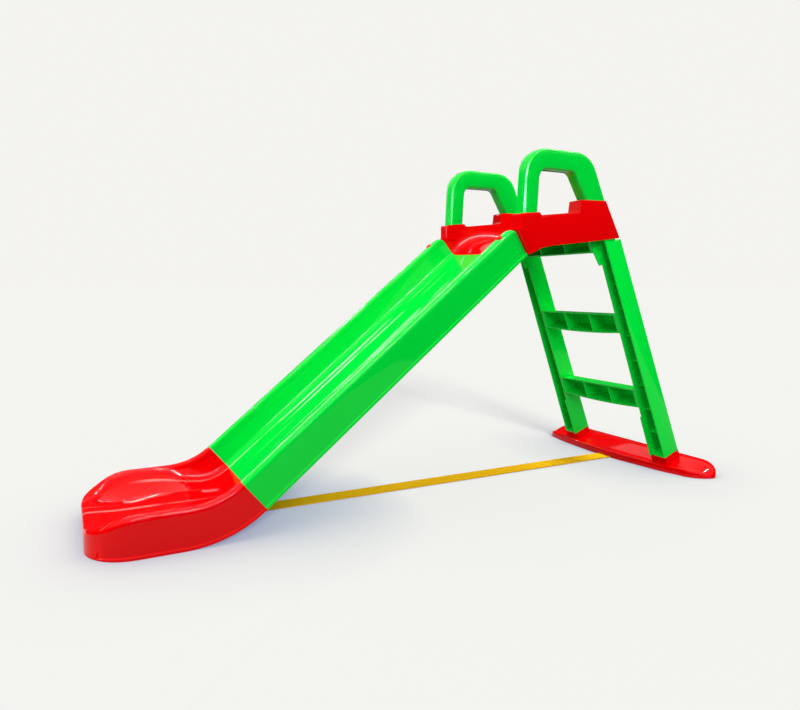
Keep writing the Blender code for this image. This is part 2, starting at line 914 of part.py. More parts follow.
def stile_outline(inset=0.0):
    """Side view of a stile as (w, h), notched at the rear where it enters the platform."""
    top, notch = stile_top(), stile_notch()
    return [
        (inset, 0),
        (stile_depth - inset, 0),
        (stile_depth - inset, notch),
        (0.0330, notch),
        (0.0300, top - 0.011),
        (inset, top - inset * 0.4),
    ]


def stile_rings(side):
    """Sections of a stile from its inner face out, drawn in at the outer face's long edges."""
    edge = stile_edge_radius
    rings = [[on_ladder(w, h, side * stile_inner) for w, h in stile_outline()]]
    for away, inset in ((edge, 0.0), (0.3 * edge, 0.3 * edge), (0.0, edge)):
        outline = stile_outline(inset)
        rings.append([on_ladder(w, h, side * (stile_outer(h) - away)) for w, h in outline])
    return rings


def ladder_slab(outline, y_in, y_out):
    """Rings of a slab whose outline is in (w, h)."""
    return [[on_ladder(w, h, y) for w, h in outline] for y in (y_in, y_out)]


def step_tops():
    return [ladder_height_at(first_step + i * step_rise) for i in range(2)]


def rung_outline(top, inset=0.0):
    """Side view of a rung as (w, h): a level tread, a rear wall and a lower edge."""
    fall = math.tan(ladder_lean)
    front = -0.02 if inset else rung_set_back
    back = stile_depth - rung_set_back - inset
    return [
        (front, top - inset - fall * front),
        (back, top - inset - fall * back),
        (back, top - rung_height + inset),
        (front, top - rung_height + inset),
    ]


def stile_channels():
    """The open front of both stiles, as far back as the cross ribs."""
    low, high = wall, stile_top() - wall
    outline = [(-0.03, low), (rib_set_back, low), (rib_set_back, high), (-0.03, high)]
    channels = []
    for side in (-1, 1):
        inner = [on_ladder(w, h, side * (stile_inner + wall)) for w, h in outline]
        outer = [on_ladder(w, h, side * (stile_outer(h) - wall)) for w, h in outline]
        channels.append([inner, outer])
    return channels


def stile_pockets():
    """The pockets between the cross ribs of both stiles."""
    top = stile_top() - wall
    marks = [wall, *stile_rib_heights(), top]
    pockets = []
    for low, high in zip(marks, marks[1:]):
        low += rib_thickness / 2 if low != marks[0] else 0.0
        high -= rib_thickness / 2 if high != top else 0.0
        deep = stile_depth - wall if high < stile_notch() else 0.0270
        outline = [(wall, low), (deep, low), (deep, high), (wall, high)]
        for side in (-1, 1):
            inner = [on_ladder(w, h, side * (stile_inner + wall + 0.0002)) for w, h in outline]
            outer = [on_ladder(w, h, side * (stile_outer(h) - wall - 0.0002)) for w, h in outline]
            pockets.append([inner, outer])
    return pockets


def bowed_rung(outline, y):
    """One section of a rung, whose lower edge bows down towards the middle."""
    bow = rung_bow * (1 - (y / stile_inner) ** 2)
    bowed = outline[:2] + [(w, h - bow) for w, h in outline[2:]]
    return [on_ladder(w, h, y) for w, h in bowed]


def make_ladder(parts, cutters, green):
    ladder = loft("ladder", stile_rings(1), parts, green)
    join(ladder, lofts("ladder_other_stile", [stile_rings(-1)], cutters))
    overlap = stile_inner + 0.002
    tops = step_tops()
    solids = []
    for top in tops:
        places = (-overlap, -0.10, -0.05, 0.0, 0.05, 0.10, overlap)
        solids.append([bowed_rung(rung_outline(top), y) for y in places])
    # The top rung carries the rear of the deck.
    solids.append(
        [[on_ladder(w, h, y) for w, h in top_rung_outline()] for y in (-overlap, overlap)]
    )
    join(ladder, lofts("ladder_rungs", solids, cutters))

    # The stiles' inner walls reach further forward at the foot and under the platform.
    flanges = []
    roof = ladder_height_at(deck_underside)
    fall = math.tan(ladder_lean)
    for side in (-1, 1):
        y0, y1 = side * (stile_inner + rung_set_back), side * (stile_inner + wall)
        flange = [(0.003, 0.0), (-0.005, 0.0), (-0.005, 0.113), (0.003, 0.117)]
        flanges.append(ladder_slab(flange, y0, y1))
        gusset = [
            (0.003, roof - 0.0693),
            (-0.011, roof - 0.0663),
            (-rung_three_reach, roof - 0.0243),
            (-rung_three_reach, roof + fall * rung_three_reach),
            (0.003, roof - fall * 0.003),
        ]
        flanges.append(ladder_slab(gusset, y0, y1))
    join(ladder, lofts("stile_flanges", flanges, cutters))

    # A channel from the front and deeper pockets behind it leave the walls and the cross ribs.
    cut(ladder, lofts("stile_channels", stile_channels(), cutters))
    cut(ladder, lofts("stile_pockets", stile_pockets(), cutters))

    pockets = []
    bays = [-0.137, -0.0475, 0.0475, 0.137]
    for top in tops:
        for y0, y1 in zip(bays, bays[1:]):
            y0 += rib_thickness / 2
            y1 -= rib_thickness / 2
            places = [y0 + (y1 - y0) * i / 3 for i in range(4)]
            pockets.append([bowed_rung(rung_outline(top, wall), y) for y in places])
    for y0, y1 in zip(bays, bays[1:]):
        outline = top_rung_outline(wall)
        rings = [
            [on_ladder(w, h, y) for w, h in outline]
            for y in (y0 + rib_thickness / 2, y1 - rib_thickness / 2)
        ]
        pockets.append(rings)
    cut(ladder, lofts("rung_pockets", pockets, cutters))

    bosses, holes = [], []
    for side in (-1, 1):
        low, high = foot_screw_line(side)
        base = on_ladder(foot_screw_depth, 0.002, side * foot_screw_across)
        bosses.append(tube(base, base + 0.010 * lean_up, boss_diameter))
        holes.append(tube(low, high + 0.001 * lean_up, screw_diameter + screw_clearance))
        start, end = ladder_screw_line(side)
        axis = (end - start).normalized()
        bosses.append(tube(start + 0.0075 * axis, end + 0.002 * axis, boss_diameter))
        holes.append(tube(start, end + 0.001 * axis, screw_diameter + screw_clearance))
    join(ladder, lofts("ladder_bosses", bosses, cutters))
    cut(ladder, lofts("ladder_screw_holes", holes, cutters))
    return ladder


def top_rung_outline(inset=0.0):
    """Side view of the top rung as (w, h): it stops level just under the deck."""
    fall = math.tan(ladder_lean)
    top = ladder_height_at(deck_underside)
    low = ladder_height_at(deck_height - top_rung_height)
    front = -0.04 if inset else -rung_three_reach + rung_set_back
    deep = 0.0360 - inset
    return [
        (front, top - inset - front * fall),
        (deep, top - fall * deep - inset),
        (deep, low + inset),
        (front, low + inset),
    ]


def stile_rib_heights():
    """Heights of the cross ribs in the stiles' channels."""
    shares = (0.103, 0.2125, 0.332, 0.445, 0.561, 0.684, 0.794, 0.9065)
    return [share * ladder_height_at(deck_underside) for share in shares]


def foot_screw_line(side):
    """Axis of a screw from inside the foot bar's collar up into a stile."""
    low = on_ladder(foot_screw_depth, -wall - fit_gap, side * foot_screw_across)
    return low, low + 0.0125 * lean_up


def foot_front(y):
    """The front edge of the foot bar bows towards the slide in the middle."""
    across = abs(y) / (foot_half_width - foot_tip_length)
    bow = 0.28 * min(across * 2, 1) ** 2 + 0.72 * across**4
    return overall_length - foot_depth + foot_front_bow * bow


def foot_ring(y, inset=0.0, below=0.0):
    back = overall_length
    front = foot_front(min(abs(y), foot_half_width - foot_tip_length))
    reach = foot_half_width - inset
    start = foot_half_width - foot_tip_length
    tip = max(abs(y) - start, 0.0) / (reach - start)
    size = math.sqrt(max(1 - tip**2, 0.0))
    middle = overall_length - foot_middle_from_rear
    size_x = size**1.2
    front, back = front + inset, back - inset
    front = middle - (middle - front) * size_x
    back = middle + (back - middle) * size_x
    tall = max(size, 0.12)
    low = foot_front_height * tall - inset
    high = foot_ridge_height * tall - inset
    width = back - front
    ridge = back - min(0.040, 0.36 * width)
    ease = min(1.0, width / 0.08)
    corners = [
        (front, -below, 0),
        (front + 0.0015 * ease, low, 0.0055 * ease * tall),
        (front + 0.20 * width, low + 0.10 * (high - low), 0.030 * ease),
        (ridge, high, 0.030 * ease),
        (back - 0.002 * ease, high - 0.001 * tall, 0.0085 * ease * tall),
        (back, -below, 0),
    ]
    ring = []
    for i, (x, z) in enumerate(rounded(corners, 4)):
        ring.append((x, y, max(z, -below + 1e-5 * i)))
    return ring


def foot_stations(inset=0.0):
    start = foot_half_width - foot_tip_length
    reach = foot_half_width - inset - start
    turns = (0, 15, 30, 42, 54, 64, 73, 80, 86)
    half = [start + reach * math.sin(math.radians(turn)) for turn in turns]
    inner = [0.0, 0.05, 0.10, 0.135, 0.17, 0.20]
    right = inner + half
    return [-y for y in reversed(right[1:])] + right


def collar_outline(inset=0.0, below=0.0):
    """Side view of a collar as (x, z): it ends on the stile's square cut."""
    gap = fit_gap
    top_front = on_ladder(inset, -gap - inset)
    top_back = on_ladder(stile_depth - inset, -gap - inset)
    low_front = on_ladder(inset, -0.030 - inset)
    low_back = on_ladder(stile_depth - inset, -0.045 - inset)
    floor = 0.004 - below
    return [
        (top_front.x, top_front.z),
        (top_back.x, top_back.z),
        (low_back.x, max(low_back.z, floor)),
        (low_front.x, max(low_front.z, floor)),
    ]


def make_foot_bar(parts, cutters, red):
    foot = loft("foot_bar", [foot_ring(y) for y in foot_stations()], parts, red)
    collars, wells, holes = [], [], []
    for side in (-1, 1):
        collars.append(slab(collar_outline(), side * stile_inner, side * stile_outer_foot))
        y0, y1 = side * (stile_inner + wall), side * (stile_outer_foot - wall)
        wells.append(slab(collar_outline(wall, 0.02), y0, y1))
        low, high = foot_screw_line(side)
        holes.append(tube(low - 0.01 * lean_up, high, screw_diameter + screw_clearance))
    join(foot, lofts("collars", collars, cutters))
    hollow = [foot_ring(y, wall, 0.01) for y in foot_stations(wall)[::2]]
    cut(foot, lofts("foot_bar_hollow", [hollow], cutters))
    cut(foot, lofts("collar_wells", wells, cutters))

    # Cross ribs either side of the collars and one each side of the strap.
    ribs = []
    for y in (-0.215, -0.120, -0.045, 0.045, 0.120, 0.215):
        rings = []
        for edge in (y - rib_thickness / 2, y + rib_thickness / 2):
            ring = foot_ring(edge, wall / 2, -0.004)
            rings.append(ring)
        ribs.append(rings)
    join(foot, lofts("foot_bar_ribs", ribs, cutters))

    level = strap_thickness + fit_gap
    x0 = overall_length - foot_depth - 0.018
    x1 = x0 + 0.040
    notch = [(x0, -0.01), (x1, -0.01), (x1, level), (x0, level)]
    half = strap_width / 2 + 0.0015
    holes.append(slab(notch, -half, half))
    low = Vector((strap_rear_screw, 0, strap_rear_level + strap_thickness + fit_gap))
    boss = tube(low, Vector((strap_rear_screw, 0, 0.0215)), strap_boss_diameter, 20)
    join(foot, lofts("strap_boss_rear", [boss], cutters))
    holes.append(tube(low - 0.01 * up, low + 0.0045 * up, screw_diameter + screw_clearance))
    cut(foot, lofts("foot_bar_openings", holes, cutters))
    return foot


def make_strap(parts, cutters, gold):
    """A flat strap on the floor whose ends step up inside the run-out and the foot bar."""
    front_end, rear_end = strap_front_screw - 0.012, strap_rear_screw + 0.012
    line = [
        (front_end, strap_front_level, 0),
        (strap_front_screw + 0.026, strap_front_level, 0.012),
        (strap_front_screw + 0.064, 0.0, 0.020),
        (strap_rear_screw - 0.040, 0.0, 0.012),
        (strap_rear_screw - 0.020, strap_rear_level, 0.010),
        (rear_end, strap_rear_level, 0),
    ]
    low = rounded(line, 4)
    high = rounded(offset_corners(line, -strap_thickness), 4)
    outline = low + list(reversed(high))
    strap = loft(
        "floor_tie", slab(outline, -strap_width / 2, strap_width / 2), parts, gold
    )
    holes = []
    for x in (strap_front_screw, strap_rear_screw):
        low = Vector((x, 0, -0.01))
        holes.append(tube(low, low + 0.06 * up, strap_hole_diameter))
    cut(strap, lofts("strap_holes", holes, cutters))
    return strap


def turned(name, start, axis, profile, parts, material, sides=20):
    """A solid turned about an axis, from a profile of (distance, radius) pairs."""
    axis = axis.normalized()
    across = axis.orthogonal().normalized()
    other = axis.cross(across)
    rings = []
    for distance, radius in profile:
        centre = start + axis * distance
        ring = []
        for i in range(sides):
            t = 2 * math.pi * i / sides
            ring.append(centre + (across * math.cos(t) + other * math.sin(t)) * radius)
        rings.append(ring)
    return loft(name, rings, parts, material)


def make_screw(name, seat, axis, length, parts, cutters, steel):
    """A pan-head screw: its head seats at a point and its shaft runs along the axis."""
    head, shaft = screw_head_diameter / 2, screw_diameter / 2
    tall = screw_head_height
    profile = [
        (-fit_gap - tall, head * 0.55),
        (-fit_gap - tall * 0.45, head * 0.98),
        (-fit_gap, head),
        (-fit_gap, shaft),
        (length - 0.0015, shaft),
        (length, shaft * 0.45),
    ]
    screw = turned(name, seat, axis, profile, parts, steel, 12)
    axis = axis.normalized()
    across = axis.orthogonal().normalized()
    other = axis.cross(across)
    top = seat - axis * (fit_gap + tall + 0.001)
    deep = seat - axis * (fit_gap + tall * 0.45)
    slots = []
    for long, short in ((across, other), (other, across)):
        rings = []
        for centre in (top, deep):
            a, b = long * head * 0.5, short * 0.0005
            rings.append([centre - a - b, centre + a - b, centre + a + b, centre - a + b])
        slots.append(rings)
    for i, rings in enumerate(slots):
        cut(screw, lofts(f"{name}_slot_{i + 1}", [rings], cutters))
    return screw


def make_pins(parts, red):
    """Domed pins that lock the rails to the platform's tabs."""
    radius = pin_diameter / 2
    for name, side in (("chute_pin_left", 1), ("chute_pin_right", -1)):
        s = chute_length - pin_from_end
        start = on_chute(s, 0, side * pin_across, False)
        seat = pin_seat - fit_gap
        profile = [(-0.003, radius * 0.30), (-0.0026, radius * 0.62), (-0.0015, radius * 0.88)]
        profile += [(0.0, radius), (seat, radius), (seat, pin_shaft / 2)]
        profile += [(0.025, pin_shaft / 2), (0.027, pin_shaft / 2 - 0.0012)]
        turned(name, start, down, profile, parts, red, 18)


def make_fasteners(parts, cutters, red, steel):
    make_pins(parts, red)
    spots = {}
    for word, side in (("left", 1), ("right", -1)):
        for level, d in zip(("upper", "lower"), joint_screw_depths):
            seat = on_chute(-end_wall, d, side * pin_across)
            spots[f"joint_screw_{word}_{level}"] = (seat, along, 0.0145)
        for place, (x, z) in zip(("front", "rear"), handle_screw_spots()):
            seat = Vector((x, side * leg_middle, z))
            spots[f"handle_screw_{word}_{place}"] = (seat, up, 0.017)
        start, end = ladder_screw_line(side)
        spots[f"ladder_screw_{word}"] = (start, end - start, 0.0155)
        low, high = foot_screw_line(side)
        spots[f"foot_screw_{word}"] = (low, high - low, 0.0120)
    front = Vector((strap_front_screw, 0, strap_front_level))
    rear = Vector((strap_rear_screw, 0, strap_rear_level))
    spots["tie_screw_front"] = (front, up, 0.0075)
    spots["tie_screw_rear"] = (rear, up, 0.0068)
    for name, (seat, axis, length) in spots.items():
        make_screw(name, seat, axis, length, parts, cutters, steel)


def main():
    clear_scene()
    parts = new_collection("slide")
    cutters = new_collection("slide_cutters")
    cutters.hide_render = True
    green = plastic("green_plastic", (0.0, 0.62, 0.05))
    red = plastic("red_plastic", (0.72, 0.005, 0.008))
    gold = plastic("gold_webbing", (0.62, 0.38, 0.03), 0.55)
    steel = plastic("zinc_steel", (0.55, 0.56, 0.58), 0.35, 1.0)

    make_chute_upper(parts, cutters, green)
    make_chute_lower(parts, cutters, red)
    make_platform(parts, cutters, red)
    make_handle("handle_left", 1, parts, cutters, green)
    make_handle("handle_right", -1, parts, cutters, green)
    make_ladder(parts, cutters, green)
    make_foot_bar(parts, cutters, red)
    make_strap(parts, cutters, gold)
    make_fasteners(parts, cutters, red, steel)

    for made in list(parts.objects) + list(cutters.objects):
        made.location.x = -overall_length / 2


main()
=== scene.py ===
import math

import bmesh
import bpy
from mathutils import Matrix, Vector


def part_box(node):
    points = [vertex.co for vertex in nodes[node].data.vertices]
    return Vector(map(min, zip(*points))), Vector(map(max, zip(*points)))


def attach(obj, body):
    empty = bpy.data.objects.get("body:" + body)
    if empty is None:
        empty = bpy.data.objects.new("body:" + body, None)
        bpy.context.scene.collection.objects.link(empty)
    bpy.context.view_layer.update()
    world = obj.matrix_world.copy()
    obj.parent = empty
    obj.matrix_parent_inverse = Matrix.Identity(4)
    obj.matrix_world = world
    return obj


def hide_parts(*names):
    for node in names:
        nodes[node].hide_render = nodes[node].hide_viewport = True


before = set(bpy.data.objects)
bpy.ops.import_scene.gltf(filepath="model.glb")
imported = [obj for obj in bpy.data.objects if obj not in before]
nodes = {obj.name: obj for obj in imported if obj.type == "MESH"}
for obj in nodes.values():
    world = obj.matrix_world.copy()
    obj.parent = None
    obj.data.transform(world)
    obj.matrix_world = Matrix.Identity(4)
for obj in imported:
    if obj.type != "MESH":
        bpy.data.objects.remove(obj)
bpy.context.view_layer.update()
scene = bpy.context.scene
print("slide loaded:", len(nodes), "parts")


def addNode(tree, kind, place=(0, 0), **values):
    node = tree.nodes.new(kind)
    node.location = place
    for key, value in values.items():
        if key in node.inputs:
            node.inputs[key].default_value = value
        else:
            setattr(node, key, value)
    return node


def addMath(tree, place, operation, first=None, second=None):
    node = addNode(tree, "ShaderNodeMath", place, operation=operation)
    for socket, value in zip(node.inputs, (first, second)):
        if value is not None:
            socket.default_value = value
    return node


def addRange(tree, place, source=(0.0, 1.0), target=(0.0, 1.0)):
    node = addNode(tree, "ShaderNodeMapRange", place)
    for label, value in zip(("From Min", "From Max", "To Min", "To Max"), (*source, *target)):
        node.inputs[label].default_value = value
    return node


# sockets 6 and 7 of a colour mix are its two colours, and output 2 is the result
def addColorMix(tree, place, first=None, second=None, **values):
    node = addNode(tree, "ShaderNodeMix", place, data_type="RGBA", **values)
    for i, color in ((6, first), (7, second)):
        if color is not None:
            node.inputs[i].default_value = (*color, 1)
    return node


def wire(tree, *pairs):
    for out, into in pairs:
        tree.links.new(out, into)


# the output is one for what the camera sees straight, mirrored in gloss or through something clear
def addSeen(tree):
    path = addNode(tree, "ShaderNodeLightPath", (-900, 200))
    mirrored = addMath(tree, (-700, 200), "MAXIMUM")
    through = addMath(tree, (-500, 150), "MAXIMUM")
    wire(
        tree,
        (path.outputs["Is Camera Ray"], mirrored.inputs[0]),
        (path.outputs["Is Glossy Ray"], mirrored.inputs[1]),
        (mirrored.outputs[0], through.inputs[0]),
        (path.outputs["Is Transmission Ray"], through.inputs[1]),
    )
    return through.outputs[0]


def newGroup(name, inputs, outputs):
    tree = bpy.data.node_groups.new(name, "ShaderNodeTree")
    for label, kind in inputs:
        tree.interface.new_socket(label, in_out="INPUT", socket_type=kind)
    for label, kind in outputs:
        tree.interface.new_socket(label, in_out="OUTPUT", socket_type=kind)
    start = addNode(tree, "NodeGroupInput", (-900, 0))
    end = addNode(tree, "NodeGroupOutput", (700, 0))
    return tree, start, end


def newMaterial(name):
    material = bpy.data.materials.new(name)
    material.use_nodes = True
    return material, material.node_tree.nodes["Principled BSDF"]


skinLook = {
    "peelNoise": {"Detail": 2.0, "Roughness": 0.5},
    "sinkNoise": {"Detail": 1.0, "Roughness": 0.4},
    "scuffNoise": {"Scale": 38.0, "Detail": 5.0, "Roughness": 0.65},
    "streakLineNoise": {"Scale": 1.0, "Detail": 1.5, "Roughness": 0.5},
    "peelDepth": 0.00004,
    "sinkDepth": 0.0006,
    "streakDepth": 0.0002,
    "glossSpread": (0.86, 1.2),  # times the gloss, where scuffs leave it smoothest and roughest
    "comb": (1.3, 58.0, 1.3),  # draws the noise out into lines along the chute
    # the pale colour of the painted highlight lines
    "streaksAndPaintedHighlight": (0.74, 0.92, 0.84),
    # where each mask of the painted highlight lines begins and where it is full
    "lineEdge": (0.585, 0.66),
    "upward": (0.55, 0.72),
    "lowOnChute": (0.14, -0.12),
    "patches": (0.36, 0.56),
}
# what a plastic sets on the skin; the two sizes are metres across one bump
skinDials = ("Drift", "Gloss", "Peel Size", "Peel", "Sink Size", "Sink", "Streak")


# slow sink marks, fine orange peel, faint colour drift, lengthwise streaks in relief and pale painted
# highlight lines of a moulded shell
def makeMouldedSkin(look):
    tree, start, end = newGroup(
        "mouldedSkin",
        [("Color", "NodeSocketColor")] + [(label, "NodeSocketFloat") for label in skinDials],
        [("Color", "NodeSocketColor"), ("Roughness", "NodeSocketFloat"), ("Normal", "NodeSocketVector")],
    )
    place = addNode(tree, "ShaderNodeTexCoord", (-900, -300))
    peelScale = addMath(tree, (-700, -250), "DIVIDE", 1.0)
    sinkScale = addMath(tree, (-700, -450), "DIVIDE", 1.0)
    peel = addNode(tree, "ShaderNodeTexNoise", (-500, -250), **look["peelNoise"])
    sink = addNode(tree, "ShaderNodeTexNoise", (-500, -450), **look["sinkNoise"])
    scuff = addNode(tree, "ShaderNodeTexNoise", (-500, -50), **look["scuffNoise"])
    low = addMath(tree, (-450, 300), "SUBTRACT", 1.0)
    driftRange = addRange(tree, (-250, 300), target=(1.0, 1.0))
    tint = addColorMix(tree, (200, 250), blend_type="MULTIPLY")
    tint.inputs[0].default_value = 1.0
    glossLow = addMath(tree, (-250, 60), "MULTIPLY", second=look["glossSpread"][0])
    glossHigh = addMath(tree, (-250, -60), "MULTIPLY", second=look["glossSpread"][1])
    glossRange = addRange(tree, (0, 0))
    fine = addNode(tree, "ShaderNodeBump", (100, -250), Distance=look["peelDepth"])
    slow = addNode(tree, "ShaderNodeBump", (300, -350), Distance=look["sinkDepth"])
    combed = addNode(tree, "ShaderNodeVectorMath", (-700, -650), operation="MULTIPLY")
    combed.inputs[1].default_value = look["comb"]
    streaksAndPaintedHighlight = addNode(tree, "ShaderNodeTexNoise", (-500, -650), **look["streakLineNoise"])
    streaks = addNode(tree, "ShaderNodeBump", (500, -450), Distance=look["streakDepth"])
    # pale painted highlight lines on faces that look up, low on the chute
    lines = addRange(tree, (-250, -650), look["lineEdge"])
    facing = addNode(tree, "ShaderNodeNewGeometry", (-900, -850))
    lift = addNode(tree, "ShaderNodeSeparateXYZ", (-700, -850))
    upward = addRange(tree, (-500, -850), look["upward"])
    spot = addNode(tree, "ShaderNodeSeparateXYZ", (-700, -1050))
    lowDown = addRange(tree, (-500, -1050), look["lowOnChute"])
    patches = addRange(tree, (-250, -1050), look["patches"])
    upFacingHighlight = addMath(tree, (-250, -850), "MULTIPLY")
    lowUpFacingHighlight = addMath(tree, (-50, -850), "MULTIPLY")
    broken = addMath(tree, (50, -1050), "MULTIPLY")
    pale = addMath(tree, (150, -850), "MULTIPLY")
    paintedHighlightMix = addColorMix(tree, (450, 250), second=look["streaksAndPaintedHighlight"])
    wire(
        tree,
        (start.outputs["Peel Size"], peelScale.inputs[1]),
        (start.outputs["Sink Size"], sinkScale.inputs[1]),
        (place.outputs["Object"], peel.inputs["Vector"]),
        (place.outputs["Object"], sink.inputs["Vector"]),
        (place.outputs["Object"], scuff.inputs["Vector"]),
        (peelScale.outputs[0], peel.inputs["Scale"]),
        (sinkScale.outputs[0], sink.inputs["Scale"]),
        (start.outputs["Drift"], low.inputs[1]),
        (low.outputs[0], driftRange.inputs["To Max"]),
        (sink.outputs["Fac"], driftRange.inputs["Value"]),
        (start.outputs["Color"], tint.inputs[6]),
        (driftRange.outputs["Result"], tint.inputs[7]),
        (tint.outputs[2], paintedHighlightMix.inputs[6]),
        (paintedHighlightMix.outputs[2], end.inputs["Color"]),
        (start.outputs["Gloss"], glossLow.inputs[0]),
        (start.outputs["Gloss"], glossHigh.inputs[0]),
        (glossLow.outputs[0], glossRange.inputs["To Min"]),
        (glossHigh.outputs[0], glossRange.inputs["To Max"]),
        (scuff.outputs["Fac"], glossRange.inputs["Value"]),
        (glossRange.outputs["Result"], end.inputs["Roughness"]),
        (start.outputs["Peel"], fine.inputs["Strength"]),
        (peel.outputs["Fac"], fine.inputs["Height"]),
        (start.outputs["Sink"], slow.inputs["Strength"]),
        (sink.outputs["Fac"], slow.inputs["Height"]),
        (fine.outputs["Normal"], slow.inputs["Normal"]),
        (place.outputs["Object"], combed.inputs[0]),
        (combed.outputs[0], streaksAndPaintedHighlight.inputs["Vector"]),
        (streaksAndPaintedHighlight.outputs["Fac"], lines.inputs["Value"]),
        (facing.outputs["Normal"], lift.inputs[0]),
        (lift.outputs["Z"], upward.inputs["Value"]),
        (place.outputs["Object"], spot.inputs[0]),
        (spot.outputs["X"], lowDown.inputs["Value"]),
        (lines.outputs["Result"], upFacingHighlight.inputs[0]),
        (upward.outputs["Result"], upFacingHighlight.inputs[1]),
        (upFacingHighlight.outputs[0], lowUpFacingHighlight.inputs[0]),
        (lowDown.outputs["Result"], lowUpFacingHighlight.inputs[1]),
        (sink.outputs["Fac"], patches.inputs["Value"]),
        (lowUpFacingHighlight.outputs[0], broken.inputs[0]),
        (patches.outputs["Result"], broken.inputs[1]),
        (broken.outputs[0], pale.inputs[0]),
        (start.outputs["Streak"], pale.inputs[1]),
        (pale.outputs[0], paintedHighlightMix.inputs[0]),
        (start.outputs["Streak"], streaks.inputs["Strength"]),
        (streaksAndPaintedHighlight.outputs["Fac"], streaks.inputs["Height"]),
        (slow.outputs["Normal"], streaks.inputs["Normal"]),
        (streaks.outputs["Normal"], end.inputs["Normal"]),
    )
    return tree


mouldedSkin = makeMouldedSkin(skinLook)


def plasticMaterial(name, look):
    material, shader = newMaterial(name)
    tree = material.node_tree
    skin = addNode(tree, "ShaderNodeGroup", (-350, 100), node_tree=mouldedSkin)
    skin.inputs["Color"].default_value = (*look["color"], 1)
    for label in skinDials:
        skin.inputs[label].default_value = look[label]
    shader.inputs["Specular IOR Level"].default_value = look["specular"]
    wire(
        tree,
        (skin.outputs["Color"], shader.inputs["Base Color"]),
        (skin.outputs["Roughness"], shader.inputs["Roughness"]),
        (skin.outputs["Normal"], shader.inputs["Normal"]),
    )
    return material


greenLook = {
    "color": (0.0, 0.64, 0.040),
    "specular": 0.15,
    "Drift": 0.05,
    "Gloss": 0.035,
    "Peel Size": 0.0016,
    "Peel": 0.03,
    "Sink Size": 0.07,
    "Sink": 0.12,
    "Streak": 0.0,
}
redLook = dict(greenLook, color=(0.72, 0.0, 0.001))
green = plasticMaterial("glossyGreenPlastic", greenLook)
red = plasticMaterial("glossyRedPlastic", redLook)
# fine lengthwise streaks in relief and pale painted highlight lines on both halves of the chute
greenWithPaintedHighlight = plasticMaterial("greenPlasticPaintedHighlightLines", dict(greenLook, Streak=0.5))
redWithPaintedHighlight = plasticMaterial("redPlasticPaintedHighlightLines", dict(redLook, Streak=0.15))


def webbingMaterial(name, look):
    material, shader = newMaterial(name)
    tree = material.node_tree
    place = addNode(tree, "ShaderNodeTexCoord", (-1100, 0))
    along = addNode(tree, "ShaderNodeTexWave", (-850, 200), bands_direction="X", Scale=look["pickPitch"])
    across = addNode(tree, "ShaderNodeTexWave", (-850, -150), bands_direction="Y", Scale=look["yarnPitch"])
    weave = addMath(tree, (-600, 50), "MULTIPLY")
    # the weave's low points are painted darker and its high points lighter: painted shade and light on the
    # cords
    shade = addColorMix(tree, (-250, 200), look["yarnShade"], look["yarnLight"])
    bump = addNode(
        tree, "ShaderNodeBump", (-250, -200), Distance=look["weaveDepth"], Strength=look["weave"]
    )
    shader.inputs["Roughness"].default_value = look["roughness"]
    shader.inputs["Specular IOR Level"].default_value = 0.0
    wire(
        tree,
        (place.outputs["Object"], along.inputs["Vector"]),
        (place.outputs["Object"], across.inputs["Vector"]),
        (along.outputs["Fac"], weave.inputs[0]),
        (across.outputs["Fac"], weave.inputs[1]),
        (weave.outputs[0], shade.inputs[0]),
        (shade.outputs[2], shader.inputs["Base Color"]),
        (weave.outputs[0], bump.inputs["Height"]),
        (bump.outputs["Normal"], shader.inputs["Normal"]),
    )
    return material


webbingLook = {
    # painted shade and painted light of the weave's low and high points
    "yarnShade": (0.74, 0.38, 0.008),
    "yarnLight": (0.95, 0.56, 0.014),
    "pickPitch": 260.0,
    "yarnPitch": 160.0,
    "weave": 0.35,
    "weaveDepth": 0.0002,
    "roughness": 0.62,
}
webbing = webbingMaterial("goldenWebbing", webbingLook)


def zincMaterial(name, look):
    material, shader = newMaterial(name)
    tree = material.node_tree
    place = addNode(tree, "ShaderNodeTexCoord", (-900, 0))
    spangle = addNode(tree, "ShaderNodeTexVoronoi", (-650, 100), Scale=look["spangle"])
    tone = addColorMix(tree, (-300, 200), look["dull"], look["bright"])
    rough = addRange(tree, (-300, -50), target=look["roughness"])
    shader.inputs["Metallic"].default_value = 1.0
    wire(
        tree,
        (place.outputs["Object"], spangle.inputs["Vector"]),
        (spangle.outputs["Distance"], tone.inputs[0]),
        (spangle.outputs["Distance"], rough.inputs["Value"]),
        (tone.outputs[2], shader.inputs["Base Color"]),
        (rough.outputs["Result"], shader.inputs["Roughness"]),
    )
    return material


zincLook = {
    "dull": (0.42, 0.43, 0.45),
    "bright": (0.66, 0.67, 0.69),
    "spangle": 900.0,
    "roughness": (0.25, 0.42),
}
zinc = zincMaterial("zincPlatedSteel", zincLook)
print("materials made")


# everything shades smoothly and keeps its crisp corners
shading = {"weld": 0.00002, "corner": math.radians(32)}


